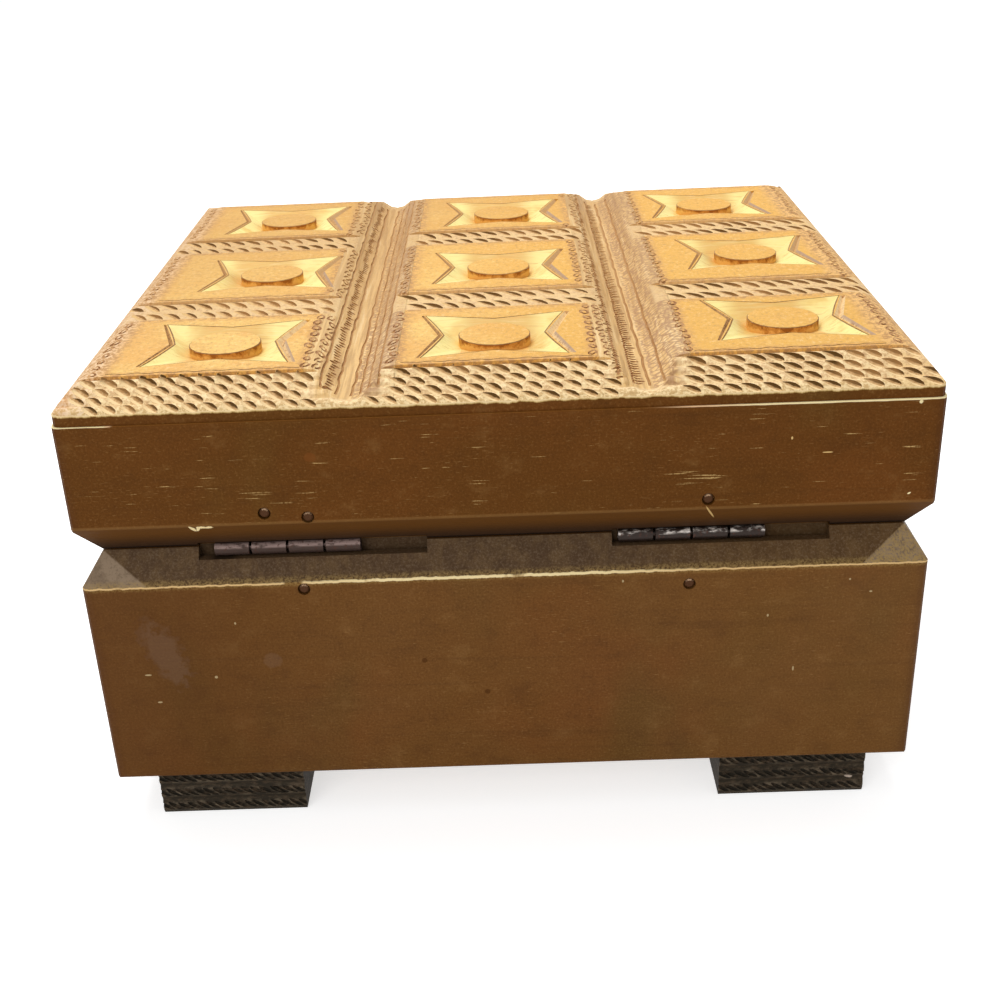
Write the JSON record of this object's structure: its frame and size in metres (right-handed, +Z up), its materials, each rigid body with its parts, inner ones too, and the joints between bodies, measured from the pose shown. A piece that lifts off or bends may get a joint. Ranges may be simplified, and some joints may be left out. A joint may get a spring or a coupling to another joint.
{
  "type": "hinged wooden box",
  "caption": "Square wooden keepsake box on carved feet, with a chip-carved lid that opens on two small hinges set in the back edge.",
  "frame": {"origin": "on the ground under the middle of the box, at the bottom centre of its bounding box", "axes": "+X to the right seen from the front, +Y towards the hinged back, +Z up; the lid is closed"},
  "size_m": [0.15, 0.15, 0.0865],
  "materials": {
    "side_wood": "brown stained and varnished hardwood, fine level grain, worn pale along its edges",
    "carved_wood": "golden tan varnished wood, chip-carved stars in pale fresh wood, ropes stained darker in their hollows",
    "foot_wood": "very dark stained wood with a rope-carved face",
    "floor_wood": "plain unstained plywood",
    "hinge_steel": "thin pressed steel, dulled and slightly rusty",
    "brad_steel": "small dark steel brads"
  },
  "bodies": {
    "base": {"base_back_wall": "side_wood", "base_front_wall": "side_wood", "base_left_wall": "side_wood", "base_right_wall": "side_wood", "base_floor": "floor_wood", "foot_back_left": "foot_wood", "foot_back_right": "foot_wood", "foot_front_left": "foot_wood", "foot_front_right": "foot_wood", "right_hinge_base_leaf": "hinge_steel", "right_hinge_pin": "hinge_steel", "right_hinge_base_brad_1": "brad_steel", "left_hinge_base_leaf": "hinge_steel", "left_hinge_pin": "hinge_steel", "left_hinge_base_brad_1": "brad_steel"},
    "lid": {"lid_back_rail": "side_wood", "lid_front_rail": "side_wood", "lid_left_rail": "side_wood", "lid_right_rail": "side_wood", "lid_top_panel": "carved_wood", "right_hinge_lid_leaf": "hinge_steel", "right_hinge_lid_brad_1": "brad_steel", "right_hinge_lid_brad_2": "brad_steel", "left_hinge_lid_leaf": "hinge_steel", "left_hinge_lid_brad_1": "brad_steel"}
  },
  "joints": [
    {"name": "lid_hinge", "type": "hinge", "parent": "base", "child": "lid", "pos_m": [0, 0.07095, 0.0558], "axis": [-1, 0, 0], "range_deg": [0, 110]}
  ]
}
